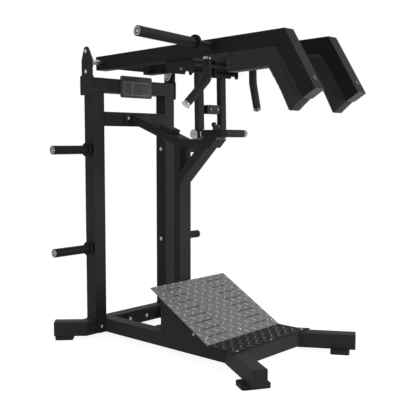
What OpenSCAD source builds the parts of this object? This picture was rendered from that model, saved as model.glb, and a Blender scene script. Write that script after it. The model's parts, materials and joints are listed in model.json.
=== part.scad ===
// Standing hack squat machine: a base, two uprights, a lever with shoulder pads
// that pivots at the rear, and a swinging catch that carries the lever at rest.
// X is across (right is +X), -Y is towards the user, Z is up, and Z = 0 is the floor.
// Places along Y count from the front faces of the uprights; the origin is then moved
// under the middle of the machine by y_shift.

/* [Steel tube] */
// Wall of the frame tubes
tube_wall = 3; // [2:0.5:5]
// Outside corner radius of the frame tubes
tube_corner = 4; // [3:0.5:9]
// Thickness of the closing plates on tube ends
end_cap = 3; // [2:0.5:5]

/* [Uprights] */
// Width over both uprights
frame_width = 672; // [600:1:720]
// Side of the square uprights
post_size = 84; // [70:1:90]
// Height of the top of the uprights
post_top = 1455; // [1400:1:1500]
// Height of the top beam's section
top_beam_h = 83; // [70:1:90]
// Depth of the top beam's section
top_beam_d = 100; // [85:1:110]
// Height of the second beam's top face
second_beam_top = 1342; // [1320:1:1350]
// Height of the second beam's section
second_beam_h = 84; // [70:1:90]

/* [Base] */
// Height of the base beams
beam_h = 84; // [70:1:90]
// Height of the side beams and the front beam
side_h = 80; // [70:1:84]
// Width of the base beams
beam_w = 82; // [70:1:88]
// Height of the rubber feet under the beams
foot_h = 22; // [15:1:35]
// Length of the rear beam before its feet splay
rear_beam_len = 810; // [760:1:860]
// Splay of the rear feet
rear_splay = 45; // [30:1:50]
// Length of a rear foot on its front face
rear_foot_len = 190; // [170:1:230]
// Width over the side beams
base_width = 550; // [510:1:600]
// Distance from the uprights to the start of the front feet
side_beam_len = 960; // [930:1:1000]
// Splay of the front feet from straight ahead
front_splay = 31; // [20:1:40]
// Length of a front foot on its outer face
front_foot_len = 378; // [330:1:420]
// Distance from the uprights to the front face of the front beam
front_beam_y = 1060; // [1040:1:1080]
// Length of a rubber foot along its beam
rubber_len = 105; // [80:1:120]
// How far a front rubber foot stands out at each side of its beam
front_rubber_lip = 34; // [5:1:45]
// How far a rear rubber foot stands out at each side of its beam
rear_rubber_lip = 5; // [2:1:24]

/* [Foot plates] */
// Width of the tread plates
tread_w = 622; // [580:1:660]
// Thickness of the tread plates
tread_t = 5; // [4:0.5:8]
// Height of the inclined plate's upper edge
tread_top = 358; // [320:1:390]
// Distance from the uprights to the inclined plate's lower edge
tread_front = 872; // [860:1:900]
// Slope of the inclined plate
tread_slope = 30; // [26:1:34]
// Slots in each of the two columns
slot_count = 8; // [4:1:9]
// Length of a slot
slot_len = 143; // [100:1:160]
// Width of a slot
slot_w = 6; // [5:0.5:9]
// Distance from the middle of the plate to the middle of a slot
slot_x = 181; // [150:1:200]

/* [Column and support arm] */
// Width of the column, support arm and brace
arm_w = 94; // [70:1:100]
// Depth of the column, support arm and brace
arm_d = 50; // [45:1:60]
// Distance from the uprights to the front of the column
column_front = 418; // [400:1:440]
// Height of the level part of the support arm
arm_level_z = 1157; // [1140:1:1170]
// Fall of the support arm from the second beam
arm_fall = 20; // [17:1:22]

/* [Lever] */
// Height of the lever pivot
pivot_z = 1629; // [1610:1:1640]
// Distance of the lever pivot behind the uprights' front faces
pivot_y = 50; // [40:1:60]
// Diameter of the pivot shaft
shaft_d = 30; // [25:1:35]
// Rise of the lever arms towards the user at rest
lever_rise = 1.6; // [0:0.1:3]
// Side of the square lever tubes
lever_size = 80; // [70:1:85]
// Distance between the middles of the two lever arms
lever_gap = 385; // [370:1:410]
// Length of an arm from the pivot to its outer front corner
lever_len = 1328; // [1280:1:1380]
// Bend of the arm down to the leg
leg_bend = 60; // [55:1:65]
// Length of a leg on its outer face
leg_len = 341; // [300:1:360]

/* [Shoulder pads] */
// Width of a pad
pad_w = 89; // [80:1:100]
// Thickness of the board behind a pad
board_t = 9; // [6:1:15]
// Thickness of the cushion on the board
pad_t = 85; // [60:1:95]
// Length of a pad along the arm, from the corner of the tubes
pad_arm_len = 318; // [280:1:360]
// Length of a pad along the leg, from the corner of the tubes
pad_leg_len = 298; // [260:1:310]

/* [Weight horns] */
// Diameter of the horn sleeves that carry the plates
horn_d = 50; // [46:0.5:51]
// Diameter of the horns' collars
collar_d = 82; // [70:1:100]
// Thickness of the horns' collars
collar_t = 10; // [6:1:15]
// Distance from the pivot to the lever horns
lever_horn_y = 878; // [840:1:910]
// Length of the lever horns' sleeves
lever_horn_len = 376; // [300:1:400]
// Distance from an arm to the lever horn's collar
lever_horn_neck = 128; // [80:1:140]
// Rise of the lever horns outwards
lever_horn_rise = 2.5; // [0:0.5:5]
// Length of the storage horns' sleeves
storage_len = 230; // [180:1:300]
// Distance from an upright to the storage horn's collar
storage_neck = 18; // [10:1:30]
// Height of the lower storage horns
storage_low = 534; // [450:1:600]
// Height of the upper storage horns
storage_high = 1118; // [1000:1:1200]

/* [Hand grips] */
// Diameter of the grips
grip_d = 44; // [30:1:46]
// Distance from the pivot to the grips
grip_y = 805; // [780:1:830]
// Drop of a grip from the arm to its bend
grip_drop = 116; // [90:1:140]
// Length of a grip below its bend
grip_len = 168; // [140:1:200]

/* [Catch] */
// Distance of the catch pivot in front of the uprights
catch_y = 600; // [596:1:604]
// Height of the catch pivot above the support arm
catch_lift = 26.5; // [26.2:0.1:30]
// Diameter of the catch hubs and their sleeve
hub_d = 52; // [48:1:52]
// Diameter of the catch shaft
catch_shaft_d = 25; // [20:1:30]
// Height of the resting bar above the catch pivot
catch_h = 326; // [320:1:332]
// Lean of the catch to the rear at rest
catch_lean = 1.3; // [0:0.1:2]
// Distance of the catch bars in front of the catch pivot
catch_offset = 14; // [5:1:18]
// Width of the catch bars
bar_w = 48; // [35:1:55]
// Depth of the catch bars
bar_d = 32; // [25:1:36]
// Distance between the middles of the catch bars
bar_gap = 188; // [175:1:200]
// Diameter of the resting bar on top of the catch bars
rest_d = 25; // [20:1:28]
// Diameter of the catch handle
handle_d = 42; // [30:1:42]
// Reach of the handle in front of the catch pivot
handle_reach = 155; // [130:1:180]

/* [Clearances] */
// Radial running clearance of the shafts in their bores
run_fit = 0.05; // [0.02:0.01:0.1]
// Gap between soft or resting pieces and their seats
seat_gap = 0.3; // [0.2:0.05:0.6]
// Gap between the resting bar and the lever's seat
rest_gap = 0.5; // [0.3:0.1:1]

/* [Hidden] */
$fn = 48;

// Fasteners
bolt_d = 12;
washer_d = 24;
washer_t = 2.5;
dome_d = 20;
dome_h = 7;

// Inside corner radius of the frame tubes
tube_inner = max(tube_corner - tube_wall, 0.5);

// Levels of the base and frame
beam_z = foot_h;
beam_top = beam_z + beam_h;
beam_mid = beam_z + beam_h / 2;
side_mid = beam_top - side_h / 2;
frame_x = frame_width / 2;
post_x = frame_x - post_size / 2;
rear_half = rear_beam_len / 2;
side_x = base_width / 2;
flange_t = 10;
flange_lip = 45;
top_beam_z = post_top;
top_beam_top = top_beam_z + top_beam_h;
second_beam_mid = second_beam_top - second_beam_h / 2;
second_beam_d = arm_d;

// The feet: unit vectors along and across them, and their end corners
rear_dir = [cos(rear_splay), sin(rear_splay)];
rear_across = [-sin(rear_splay), cos(rear_splay)];
rear_end = [rear_half, 0] + (rear_foot_len + end_cap) * rear_dir;
front_dir = [sin(front_splay), -cos(front_splay)];
front_across = [-cos(front_splay), -sin(front_splay)];
front_end = [side_x, -side_beam_len] + (front_foot_len + end_cap) * front_dir;

// The tread plates
tread_bottom = beam_top + tread_t;
tread_run = (tread_top - tread_bottom) / tan(tread_slope);
tread_back = tread_front - tread_run;
tread_len = (tread_top - tread_bottom) / sin(tread_slope);
slot_edge = 43;
slot_pitch = (tread_len - 2 * slot_edge - 11) / (slot_count - 1);
step_front = front_beam_y + 4;
flare_lip = 12;
tread_bolt = 288;
tread_bolt_up = 44;
function flare_x(y) = side_x + flare_lip + (y - side_beam_len) * tan(front_splay);
flare_start = side_beam_len + (tread_w / 2 - side_x - flare_lip) / tan(front_splay);
panel_t = 5;
panel_x = side_x - 2;
panel_bolt = -734;
panel_holes = [-600, -660];
panel_drop = 46;
post_front = 562;
post_back = 484;
plate_post_w = 40;
post_inset = 1.5;

// The column, support arm and brace, as [y, z] points of their middle lines
column_mid = -column_front + arm_d / 2;
arm_root = [-flange_t, second_beam_mid + 4];
arm_knee = [arm_root[0] - (arm_root[1] - arm_level_z) / tan(arm_fall), arm_level_z];
arm_top = arm_level_z + arm_d / 2;
arm_under = arm_level_z - arm_d / 2;
catch_z = arm_top + catch_lift;
brace_cap = 5;
brace_reach = 30;
tip_reach = 67;
brace_tip = [-catch_y - brace_cap - brace_reach + arm_d, arm_under];
brace_foot = [-column_front, brace_tip[1] + brace_tip[0] + column_front];
arm_tip = [-catch_y - tip_reach, arm_level_z];
flange_half = 98;
flange_bolt = 70;

// The lever, as [y, z] points in its own frame, whose Y axis runs along the arms
lever_x = lever_gap / 2;
half = lever_size / 2;
lever_tail = 43;
leg_dir = [-cos(leg_bend), -sin(leg_bend)];
leg_across = [sin(leg_bend), -cos(leg_bend)];
corner = [-lever_len + half * tan(leg_bend / 2), 0];
leg_end = corner + (leg_len - half * tan(leg_bend / 2)) * leg_dir;
inner_corner = [-lever_len + lever_size * tan(leg_bend / 2), -half];
leg_tip = leg_end + end_cap * leg_dir - half * leg_across;

// Turns a point of the lever's frame into one of the machine's
function on_lever(p) = [pivot_y, pivot_z]
    + [p[0] * cos(lever_rise) + p[1] * sin(lever_rise),
       -p[0] * sin(lever_rise) + p[1] * cos(lever_rise)];

// The underside of the lever arms above a place y of the machine
function arm_underside(y) = pivot_z - (y - pivot_y) * tan(lever_rise) - half / cos(lever_rise);

// The reach of the machine along Y, and the shift that centres it on the origin
y_rear = max(rear_end[1] + beam_w * rear_across[1], 0);
y_front = on_lever(leg_tip)[0];
y_shift = -(y_rear + y_front) / 2;

// The resting bar of the catch, as a point of the machine
rest_at = [-catch_y - catch_offset * cos(catch_lean) + catch_h * sin(catch_lean),
    catch_z + catch_h * cos(catch_lean) + catch_offset * sin(catch_lean)];
bar_x = bar_gap / 2;
hub_end = bar_x + bar_w / 2 + 4;
hub_start = bar_x - bar_w / 2 - 8;
disc_t = 6;
rest_half = bar_x + bar_w / 2;

// The lever's seat: a strip that rises to the rear at 45 degrees over the resting bar
seat_touch = rest_at + (rest_d / 2 + rest_gap) * [-sqrt(0.5), sqrt(0.5)];
seat_t = 6;
plate_t = 8;
crossbar = 50;
crossbar_y = 682;

module part(tone) color(tone) translate([0, y_shift, 0]) children();

module both_sides() {
    children();
    mirror([1, 0, 0]) children();
}

module block(lo, hi) translate(lo) cube(hi - lo);

// Rounded rectangle centred on the origin
module round_rect(a, b, r) {
    square([a - 2 * r, b], center = true);
    square([a, b - 2 * r], center = true);
    for (x = [-1, 1], y = [-1, 1])
        translate([x * (a / 2 - r), y * (b / 2 - r)]) circle(r);
}

// Section of a rectangular tube
module tube_section(a, b) {
    difference() {
        round_rect(a, b, tube_corner);
        tube_hollow(a, b);
    }
}
module tube_hollow(a, b) round_rect(a - 2 * tube_wall, b - 2 * tube_wall, tube_inner);

// Tube along X between x0 and x1, d deep and h high, centred on [y, z]
module tube_x(x0, x1, y, z, d, h)
    translate([x0, y, z]) rotate([90, 0, 90]) linear_extrude(x1 - x0) tube_section(d, h);

// Tube along Z between z0 and z1, centred on [x, y]
module tube_z(z0, z1, x, y, w, d)
    translate([x, y, z0]) linear_extrude(z1 - z0) tube_section(w, d);

// Bar in the Y-Z plane from p to q with the section of its child, w wide and d deep.
// Its ends lean by the cut angles.
module bar_run(p, q, w, d, cut_p = 0, cut_q = 0) {
    run = norm(q - p);
    h = d / 2 + 1;
    translate([0, p[0], p[1]]) rotate([atan2(q[1] - p[1], q[0] - p[0]), 0, 0]) intersection() {
        translate([0, run + d, 0]) rotate([90, 0, 0]) linear_extrude(run + 2 * d) children();
        rotate([90, 0, 90]) linear_extrude(w + 2, center = true) polygon([
            [h * tan(cut_p), h], [-h * tan(cut_p), -h],
            [run - h * tan(cut_q), -h], [run + h * tan(cut_q), h]]);
    }
}
module tube_run(p, q, w, d, cut_p = 0, cut_q = 0)
    bar_run(p, q, w, d, cut_p, cut_q) tube_section(w, d);

// Tube on the floor plan from p, at the angle turn, run long and tall high, with its start
// cut by cut_p
module tube_plan(p, turn, run, cut_p, tall = beam_h) {
    h = beam_w / 2 + 1;
    translate([p[0], p[1], beam_top - tall / 2]) rotate([0, 0, turn]) intersection() {
        translate([-beam_w, 0, 0]) rotate([90, 0, 90]) linear_extrude(run + beam_w)
            tube_section(beam_w, tall);
        linear_extrude(beam_h + 2, center = true) polygon([
            [h * tan(cut_p), h], [-h * tan(cut_p), -h], [run, -h], [run, h]]);
    }
}

// Domed bolt head on a washer, at the origin, standing up along +Z
module domed_bolt() {
    cylinder(d = washer_d, h = washer_t);
    translate([0, 0, washer_t - 0.1]) rotate_extrude() intersection() {
        translate([0, -dome_d * 0.32]) circle(d = dome_d * 1.18);
        square([dome_d / 2, dome_h]);
    }
}

// Frame: the base
module rear_beam() part("#202122") intersection() {
    tube_x(-rear_half, rear_half, beam_w / 2, beam_mid, beam_w, beam_h);
    translate([0, 0, beam_mid]) linear_extrude(beam_h + 2, center = true) polygon([
        [-rear_half, 0], [rear_half, 0],
        [rear_half - beam_w * tan(rear_splay / 2), beam_w],
        [-rear_half + beam_w * tan(rear_splay / 2), beam_w]]);
}

module rear_foot(side) part("#202122") mirror([side < 0 ? 1 : 0, 0, 0]) {
    start = [rear_half - tan(rear_splay / 2) * beam_w / 2, beam_w / 2];
    tube_plan(start, rear_splay, rear_foot_len - tan(rear_splay / 2) * beam_w / 2,
        rear_splay / 2);
}
module rear_foot_left() rear_foot(-1);
module rear_foot_right() rear_foot(1);

module side_beam(side) part("#1e1f20") mirror([side < 0 ? 1 : 0, 0, 0]) {
    start = [side_x - beam_w / 2, -side_beam_len - tan(front_splay / 2) * beam_w / 2];
    tube_plan(start, 90, -flange_t - start[1], -front_splay / 2, side_h);
}
module side_beam_left() side_beam(-1);
module side_beam_right() side_beam(1);

module front_foot(side) part("#202122") mirror([side < 0 ? 1 : 0, 0, 0]) {
    start = [side_x - beam_w / 2, -side_beam_len - tan(front_splay / 2) * beam_w / 2];
    tube_plan(start, front_splay - 90, front_foot_len + tan(front_splay / 2) * beam_w / 2,
        front_splay / 2);
}
module front_foot_left() front_foot(-1);
module front_foot_right() front_foot(1);

// Inner face of the right side beam and front foot at a place y, and where it bends
foot_kink = -side_beam_len - tan(front_splay / 2) * beam_w;
function foot_inner_x(y) = side_x - beam_w + max(0, foot_kink - y) * tan(front_splay);

module front_beam() part("#202122") intersection() {
    y0 = -front_beam_y;
    y1 = y0 + beam_w;
    outline = concat([[foot_inner_x(y0), y0]],
        y1 > foot_kink ? [[foot_inner_x(foot_kink), foot_kink]] : [], [[foot_inner_x(y1), y1]]);
    last = len(outline) - 1;
    tube_x(-side_x, side_x, y0 + beam_w / 2, side_mid, beam_w, side_h);
    linear_extrude(beam_top + 1) polygon(concat(outline,
        [for (k = [last:-1:0]) [-outline[k][0], outline[k][1]]]));
}

module cross_beam() part("#1e1f20")
    tube_x(-side_x + beam_w, side_x - beam_w, column_mid, side_mid, beam_w, side_h);

// Bolted plates between the side beams and the rear beam, and one at its middle
module beam_flanges() part("#242526") {
    both_sides() block([side_x - beam_w, -flange_t, beam_z + 2],
        [side_x + flange_lip, 0, beam_top - 2]);
    block([-flange_half, -flange_t, beam_z + 8], [flange_half, 0, beam_top - 8]);
}

rubber_in = 6;
front_rubber_in = 32;
module rubber_foot(lip, set_back) translate([rubber_len / 2 + set_back, 0, 0]) linear_extrude(foot_h)
    round_rect(rubber_len, beam_w + 2 * lip, 16);

module rubber_feet() part("#141414") both_sides() {
    translate(concat(rear_end + beam_w / 2 * rear_across, 0))
        rotate([0, 0, rear_splay + 180]) rubber_foot(rear_rubber_lip, rubber_in);
    translate(concat(front_end + beam_w / 2 * front_across, 0))
        rotate([0, 0, front_splay + 90]) rubber_foot(front_rubber_lip, front_rubber_in);
}

module foot_end_cap() translate([0, 0, beam_mid]) rotate([90, 0, 90])
    linear_extrude(end_cap) round_rect(beam_w, beam_h, tube_corner);

// Closing plates on the ends of the four feet
module tube_caps() part("#2a2b2c") both_sides() {
    translate(concat(rear_end - end_cap * rear_dir + beam_w / 2 * rear_across, 0))
        rotate([0, 0, rear_splay]) foot_end_cap();
    translate(concat(front_end - end_cap * front_dir + beam_w / 2 * front_across, 0))
        rotate([0, 0, front_splay - 90]) foot_end_cap();
}

// Frame: uprights and beams
module upright(side) part("#1f2021")
    tube_z(beam_top, post_top, side * post_x, post_size / 2, post_size, post_size);
module upright_left() upright(-1);
module upright_right() upright(1);

module top_beam() part("#202122")
    tube_x(-frame_x, frame_x, top_beam_d / 2, top_beam_z + top_beam_h / 2, top_beam_d, top_beam_h);

module second_beam() part("#202122")
    tube_x(-frame_x + post_size, frame_x - post_size, second_beam_d / 2, second_beam_mid,
        second_beam_d, second_beam_h);

// Plate on the end of the top beam that carries a pivot bearing
bearing_plate_t = 10;
bearing_plate_w = 91;
bearing_plate_fore = 4.5;
tip_r = 20;
bearing_pitch = 117;
module bearing_plate(side) part("#232425") mirror([side < 0 ? 1 : 0, 0, 0])
    translate([frame_x, 0, 0]) rotate([90, 0, 90]) linear_extrude(bearing_plate_t)
    difference() {
        union() {
            translate([top_beam_d / 2, top_beam_z + top_beam_h / 2 - 4])
                round_rect(top_beam_d + 12, top_beam_h + 30, 8);
            hull() {
                translate([pivot_y - bearing_plate_w / 2 - bearing_plate_fore, top_beam_top])
                    square([bearing_plate_w, pivot_z - top_beam_top + 8]);
                translate([pivot_y, pivot_z + bearing_pitch / 2 + 7]) circle(tip_r, $fn = 32);
            }
        }
        for (s = [-1, 1]) translate([pivot_y, pivot_z + s * bearing_pitch / 2])
            circle(d = bolt_d + 0.5);
    }
module bearing_plate_left() bearing_plate(-1);
module bearing_plate_right() bearing_plate(1);

// Two-bolt flanged bearings on the inner faces of the bearing plates
housing_t = 14;
housing_ear = 14;
housing_waist = 37;
housing_boss = 34;
ear_x = bearing_pitch / 2 + 4;
ear_y = housing_ear - 0.6;
module bearing_housings() part("#9a9c9e") both_sides()
    translate([frame_x, pivot_y, pivot_z]) rotate([0, -90, 0]) difference() {
        union() {
            linear_extrude(housing_t) {
                for (s = [-1, 1]) translate([s * bearing_pitch / 2, 0]) circle(housing_ear);
                polygon([for (s = [-1, 1]) each [[-s * ear_x, s * ear_y],
                    [-s * 12, s * housing_waist], [s * 12, s * housing_waist],
                    [s * ear_x, s * ear_y]]]);
            }
            cylinder(d = 2 * housing_waist + 2, h = housing_t + 6);
            cylinder(d = shaft_d + 12, h = housing_boss);
        }
        translate([0, 0, -1]) cylinder(d = shaft_d + 2 * run_fit, h = housing_boss + 2);
        for (s = [-1, 1]) translate([s * bearing_pitch / 2, 0, -1])
            cylinder(d = bolt_d + 0.5, h = housing_t + 2);
    }

// Column, support arm and brace
module column() part("#1f2021") intersection() {
    knee_y = arm_knee[0] + arm_d / 2 * tan(arm_fall / 2);
    back = -column_front + arm_d + 1;
    tube_z(beam_top, arm_root[1], 0, column_mid, arm_w, arm_d);
    rotate([90, 0, 90]) linear_extrude(arm_w + 2, center = true) polygon([
        [-column_front - 1, beam_top], [back, beam_top],
        [back, arm_under + max(0, back - knee_y) * tan(arm_fall)],
        [min(back, knee_y), arm_under], [-column_front - 1, arm_under]]);
}

module arm_flange() part("#242526")
    block([-flange_half, -flange_t, second_beam_top - second_beam_h + 4],
        [flange_half, 0, second_beam_top - 2]);

module support_arm() part("#202122") {
    tube_run(arm_knee, arm_root, arm_w, arm_d, arm_fall / 2, arm_fall);
    difference() {
        bar_run(arm_tip, arm_knee, arm_w, arm_d, -45, -arm_fall / 2)
            round_rect(arm_w, arm_d, tube_corner);
        bar_run(arm_tip + [brace_cap, 0], arm_knee + [2, 0], arm_w, arm_d, -45, -arm_fall / 2)
            tube_hollow(arm_w, arm_d);
    }
}

// The arm and the brace are closed at their tips by walls of brace_cap
module brace() part("#202122") difference() {
    bar_run(brace_tip, brace_foot, arm_w, arm_d, 45, -45) round_rect(arm_w, arm_d, tube_corner);
    bar_run(brace_tip + brace_cap * [1, -1], brace_foot + 2 * [1, -1], arm_w, arm_d, 45, -45)
        tube_hollow(arm_w, arm_d);
}

// Rubber block on the sloping arm that the laid-back catch comes down on
stop_len = 102;
stop_w = 70;
stop_t = 24;
stop_near = 235;
module stop_block() part("#161616")
    translate([0, arm_root[0], arm_root[1]]) rotate([arm_fall, 0, 0])
    translate([0, -stop_near, (arm_d + stop_t) / 2]) rotate([90, 0, 0])
    linear_extrude(stop_len) round_rect(stop_w, stop_t, 4);

// Fixed sleeve on the end of the support arm, which the catch shaft turns in
module catch_sleeve() part("#242526") difference() {
    union() {
        translate([0, -catch_y, catch_z]) rotate([0, 90, 0])
            cylinder(d = hub_d - 2, h = 2 * hub_start - 2, center = true);
        block([-arm_w / 2 + 6, -catch_y - 16, arm_top], [arm_w / 2 - 6, -catch_y + 16, catch_z]);
    }
    translate([0, -catch_y, catch_z]) rotate([0, 90, 0])
        cylinder(d = catch_shaft_d + 2 * run_fit, h = 2 * hub_start, center = true);
}

// Placard on the top beam
placard_w = 257;
placard_h = 130;
placard_t = 8;
placard_z = 1495;
module placard_plate() part("#1b1c1d")
    translate([0, 0, placard_z]) rotate([90, 0, 0]) difference() {
        linear_extrude(placard_t) round_rect(placard_w, placard_h, 14);
        for (i = [-1:1]) translate([i * 70, -10, placard_t - 1.5])
            linear_extrude(2) round_rect(62, 72, 3);
    }

module placard_panels() part("#a9acae")
    translate([0, 0, placard_z]) rotate([90, 0, 0])
    for (i = [-1:1]) translate([i * 70, -10, placard_t - 1.5])
        linear_extrude(1) round_rect(61.4, 71.4, 2.7);

// Horn along +X: a neck, a collar and the sleeve that the plates slide on
module horn(neck, len, neck_d) {
    rotate([0, 90, 0]) {
        cylinder(d = neck_d, h = neck + collar_t + len);
        translate([0, 0, neck]) cylinder(d = collar_d, h = collar_t);
        translate([0, 0, neck + collar_t]) cylinder(d = horn_d, h = len);
    }
}
cap_t = 8;
module horn_cap(neck, len)
    translate([neck + collar_t + len, 0, 0]) rotate([0, 90, 0]) rotate_extrude() {
        square([horn_d / 2 - 2, cap_t]);
        square([horn_d / 2, cap_t - 2]);
        translate([horn_d / 2 - 2, cap_t - 2]) circle(2);
    }

module at_storage() both_sides() for (z = [storage_low, storage_high])
    translate([frame_x, post_size / 2 - 4, z]) children();
module storage_horns() part("#1d1e1f") at_storage() horn(storage_neck, storage_len, 38);
module storage_caps() part("#c9cbcd") at_storage() horn_cap(storage_neck, storage_len);

// Tread plates
module tread_place() translate([0, -tread_back, tread_top]) rotate([tread_slope, 0, 0])
    translate([0, 0, -tread_t]) children();

module foot_plate() part("#8e9091") tread_place() difference() {
    block([-tread_w / 2, -tread_len, 0], [tread_w / 2, 0, tread_t]);
    for (i = [0:slot_count - 1], side = [-1, 1])
        translate([side * slot_x, -slot_edge - i * slot_pitch, -1]) linear_extrude(tread_t + 2)
            round_rect(slot_len, slot_w, slot_w / 2 - 0.01);
}

// Level plate over the front beam. Its sides flare out over the front feet.
module step_plate() part("#4a4b4c") translate([0, 0, beam_top]) linear_extrude(tread_t) polygon([
    [-tread_w / 2, -tread_front], [-tread_w / 2, -flare_start], [-flare_x(step_front), -step_front],
    [flare_x(step_front), -step_front], [tread_w / 2, -flare_start], [tread_w / 2, -tread_front]]);

// Height of the inclined plate's underside above a place y
function tread_under(y) = tread_top - tread_t / cos(tread_slope)
    + (y + tread_back) * tan(tread_slope);

module side_profile(y0, y1, x0, x1) translate([x0, 0, 0]) rotate([90, 0, 90])
    linear_extrude(x1 - x0) polygon([[y0, beam_top], [y1, beam_top],
        [y1, tread_under(y1)], [y0, max(beam_top, tread_under(y0))]]);

module side_panels() part("#1d1e1f") both_sides() difference() {
    side_profile(-tread_front + 18, -post_front, panel_x - panel_t, panel_x);
    for (y = concat(panel_holes, panel_bolt)) translate([panel_x - panel_t / 2, y,
        tread_under(y) - panel_drop])
        rotate([0, 90, 0]) cylinder(d = 11, h = panel_t + 2, center = true);
}

module plate_posts() part("#1f2021") both_sides() difference() {
    side_profile(-post_front, -post_back, panel_x - plate_post_w, panel_x - post_inset);
    translate([panel_x - (plate_post_w + post_inset) / 2, (-post_front - post_back) / 2, beam_top - 1])
        linear_extrude(tread_top) round_rect(plate_post_w - post_inset - 2 * tube_wall,
            post_front - post_back - 2 * tube_wall, tube_inner);
}

// Chrome domed bolts of the fixed frame
module frame_bolts() part("#d2d4d6") {
    both_sides() {
        for (s = [-1, 1]) translate([frame_x + bearing_plate_t, pivot_y,
            pivot_z + s * bearing_pitch / 2]) rotate([0, 90, 0]) domed_bolt();
        for (z = [storage_low, storage_high]) translate([frame_x - post_size,
            post_size / 2 - 4, z]) rotate([0, -90, 0]) domed_bolt();
        translate([side_x + flange_lip / 2, -flange_t, beam_mid]) rotate([90, 0, 0]) domed_bolt();
        translate([flange_bolt, -flange_t, beam_mid + 2]) rotate([90, 0, 0]) domed_bolt();
        translate([flange_bolt, -flange_t, second_beam_mid + 6]) rotate([90, 0, 0]) domed_bolt();
        translate([panel_x, panel_bolt, tread_under(panel_bolt) - panel_drop]) rotate([0, 90, 0])
            scale(0.6) domed_bolt();
    }
    for (x = [-1, 0, 1] * tread_bolt) {
        tread_place() translate([x, tread_bolt_up - tread_len, tread_t]) scale(0.6) domed_bolt();
        translate([x, -front_beam_y + 12, tread_bottom]) scale(0.6) domed_bolt();
    }
}

// Lever: everything here turns about the pivot shaft
module lever_frame() translate([0, pivot_y, pivot_z]) rotate([-lever_rise, 0, 0]) children();

module lever_arm(side) part("#222324") lever_frame() translate([side * lever_x, 0, 0]) difference() {
    tube_run(corner, [lever_tail, 0], lever_size, lever_size, -leg_bend / 2, 0);
    rotate([0, 90, 0]) cylinder(d = shaft_d + 30, h = lever_size + 2, center = true);
}
module lever_arm_left() lever_arm(-1);
module lever_arm_right() lever_arm(1);

module lever_legs() part("#222324") lever_frame() both_sides() translate([lever_x, 0, 0])
    tube_run(leg_end, corner, lever_size, lever_size, 0, leg_bend / 2);

module pivot_shaft() part("#b9bbbd") translate([0, pivot_y, pivot_z]) rotate([0, 90, 0])
    cylinder(d = shaft_d, h = 2 * (frame_x - seat_gap), center = true);

// Tube around the shaft that joins the two arms
module pivot_tube() part("#202122") translate([0, pivot_y, pivot_z]) rotate([0, 90, 0])
    difference() {
        cylinder(d = shaft_d + 30, h = lever_gap + lever_size, center = true);
        cylinder(d = shaft_d, h = lever_gap + lever_size + 2, center = true);
    }

module lever_crossbar() part("#202122") lever_frame()
    tube_x(-lever_x + half, lever_x - half, -crossbar_y, -half + crossbar / 2, crossbar, crossbar);

// Bent strip under the crossbar: the sloping seat, a web and the upper flange
seat_back = seat_touch + [12, 12];
module channel_solid() {
    skew = seat_t * sqrt(0.5);
    low = seat_touch - [7, 7];
    top = seat_back[1] + 31;
    front = seat_back[0] - 50;
    translate([-lever_x + plate_t / 2, 0, 0]) rotate([90, 0, 90])
        linear_extrude(2 * lever_x - plate_t) polygon([low, seat_back,
            [seat_back[0], top], [front, top], [front, top - 16],
            [front + seat_t, top - 16], [front + seat_t, top - seat_t],
            [seat_back[0] - seat_t, top - seat_t], [seat_back[0] - seat_t, seat_back[1] + 3],
            low + [-skew, skew]]);
}
module latch_channel() part("#242526") channel_solid();

// Plates under the arms that carry the channel, each with a notch and a front jaw
module latch_plates() part("#232425") both_sides() {
    jaw = seat_touch[0] - 20;
    low = seat_touch[1] - 22;
    translate([lever_x - plate_t / 2, 0, 0]) rotate([90, 0, 90]) linear_extrude(plate_t)
        difference() {
            polygon([[jaw - 14, arm_underside(jaw - 14)], [jaw - 14, low + 8], [jaw - 4, low],
                [jaw + 4, low], [jaw + 14, low + 26], [jaw + 34, low + 26], [jaw + 44, low + 6],
                [jaw + 160, low + 20], [jaw + 180, low + 40],
                [jaw + 180, arm_underside(jaw + 180)]]);
            translate([jaw + 64, low + 30]) circle(d = bolt_d);
        }
}

// Middle hook between the crossbar and the channel
module latch_hook() part("#232425") difference() {
    jaw = seat_touch[0] - 20;
    low = seat_touch[1] - 22;
    translate([-plate_t / 2, 0, 0]) rotate([90, 0, 90]) linear_extrude(plate_t)
        polygon([[jaw - 14, arm_underside(jaw - 14) - seat_gap], [jaw - 14, low + 8],
            [jaw - 4, low], [jaw + 4, low], [seat_touch[0] - 9, seat_touch[1] - 9], seat_back,
            [seat_back[0], arm_underside(seat_back[0]) - seat_gap]]);
    channel_solid();
}

// Shoulder pads: a cushion swept round the inner corner of arm and leg.
// s runs along the tubes from their inner corner, to the rear when negative and down
// the leg when positive, and h is the distance from the tubes.
function on_pad(s, h) = s < 0 ? inner_corner + [-s, -h] : inner_corner + s * leg_dir + h * leg_across;
function curve(a, b, c, u) = pow(1 - u, 2) * a + 2 * u * (1 - u) * b + u * u * c;
board_gap = 0.05;
pad_back = board_t + seat_gap;
pad_face = pad_back + pad_t;
corner_in = pad_face * tan(leg_bend / 2) + 7;
cut_arm = 18;
cut_leg = 15;
board_end = board_t * tan(leg_bend / 2) + seat_gap;
pad_roll = 8;
crown = 5;
drawn_in = 2.5;
end_lean = 15;

// Outline of the cushion across its run: [x, h] points, smaller by inset at its ends
function pad_section(inset) = let(
    w = pad_w / 2 - inset, t = pad_t - inset, r = pad_roll,
    side = [for (k = [0:4]) let(h = 3 + (t - crown - r - 3) * k / 4)
        [w - drawn_in * pow(2 * k / 4 - 1, 2), h]],
    round_edge = [for (a = [25:25:75])
        [w - drawn_in - r + r * cos(a), t - crown - r + r * sin(a)]],
    face = [for (k = [0:2]) let(x = (w - drawn_in - r) * (1 - k / 3))
        [x, t - crown + crown * (1 - pow(1 - k / 3, 2))]],
    right = concat([[w - drawn_in - 3, 0]], side, round_edge, face))
    concat(right, [[0, t]], [for (k = [len(right) - 1:-1:0]) [-right[k][0], right[k][1]]]);

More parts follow.
